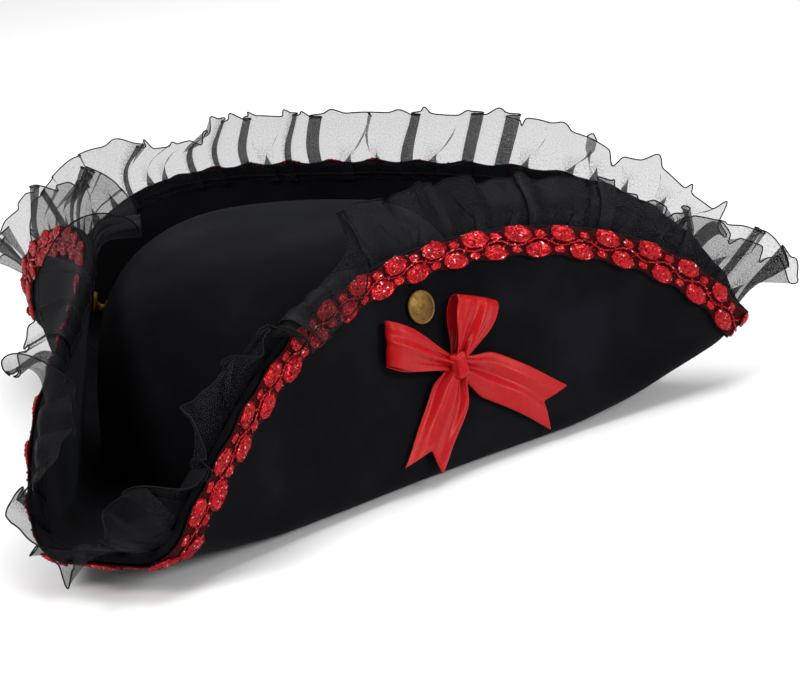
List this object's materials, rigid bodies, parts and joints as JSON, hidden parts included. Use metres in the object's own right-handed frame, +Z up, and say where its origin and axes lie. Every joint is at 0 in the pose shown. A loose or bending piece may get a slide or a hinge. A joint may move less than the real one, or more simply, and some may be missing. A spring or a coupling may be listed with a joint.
{
  "type": "three-cornered pirate hat",
  "caption": "Black velvet three-cornered pirate hat with snap-up brim flaps, red sequin trim, gathered ruffle along the edge and a red ribbon bow.",
  "frame": {"origin": "middle of the head opening, on the plane that the hat stands on", "axes": "+Z up through the crown, -Y to the wearer's front point, +X to the wearer's left, where the flap with the bow is"},
  "size_m": [0.4204, 0.3536, 0.137],
  "materials": {
    "velvet": "short-pile black velvet",
    "interlining": "stiff bonded interlining",
    "lining": "plain black lining cloth",
    "sweatband": "ribbed black grosgrain",
    "sequins": "glittering red sequin braid on dark red net",
    "organza": "sheer black organza",
    "satin": "bright red satin ribbon",
    "brass": "aged brass, softly brushed"
  },
  "bodies": {
    "root": {"crown_cover": "velvet", "crown_form": "interlining", "crown_lining": "lining", "sweatband": "sweatband", "brim_base_velvet_outside": "velvet", "brim_base_stiffener": "interlining", "brim_base_velvet_inside": "velvet", "front_point_sequin_trim": "sequins", "front_point_ruffle": "organza", "left_point_sequin_trim": "sequins", "left_point_ruffle": "organza", "right_point_sequin_trim": "sequins", "right_point_ruffle": "organza", "left_snap_stud": "brass", "left_snap_post": "brass", "right_snap_stud": "brass", "right_snap_post": "brass", "back_snap_stud": "brass", "back_snap_post": "brass"},
    "left_flap": {"left_flap_velvet_outside": "velvet", "left_flap_stiffener": "interlining", "left_flap_velvet_inside": "velvet", "left_flap_sequin_trim": "sequins", "left_flap_ruffle": "organza", "left_snap_cap": "brass", "left_snap_socket": "brass", "bow_knot": "satin", "bow_side_loop": "satin", "bow_upper_loop": "satin", "bow_long_tail": "satin", "bow_side_tail": "satin"},
    "right_flap": {"right_flap_velvet_outside": "velvet", "right_flap_stiffener": "interlining", "right_flap_velvet_inside": "velvet", "right_flap_sequin_trim": "sequins", "right_flap_ruffle": "organza", "right_snap_cap": "brass", "right_snap_socket": "brass"},
    "back_flap": {"back_flap_velvet_outside": "velvet", "back_flap_stiffener": "interlining", "back_flap_velvet_inside": "velvet", "back_flap_sequin_trim": "sequins", "back_flap_ruffle": "organza", "back_snap_cap": "brass", "back_snap_socket": "brass"}
  },
  "joints": [
    {"name": "left_flap_fold", "type": "hinge", "parent": "root", "child": "left_flap", "pos_m": [0.09431, -0.05015, 0.005], "axis": [0.4695, 0.8829, 0], "range_deg": [0, 35]},
    {"name": "back_flap_fold", "type": "hinge", "parent": "root", "child": "back_flap", "pos_m": [0, 0.1101, 0.005], "axis": [-1, 0, 0], "range_deg": [0, 35]},
    {"name": "right_flap_fold", "type": "hinge", "parent": "root", "child": "right_flap", "pos_m": [-0.09431, -0.05015, 0.005], "axis": [0.4695, -0.8829, 0], "range_deg": [0, 35]}
  ]
}
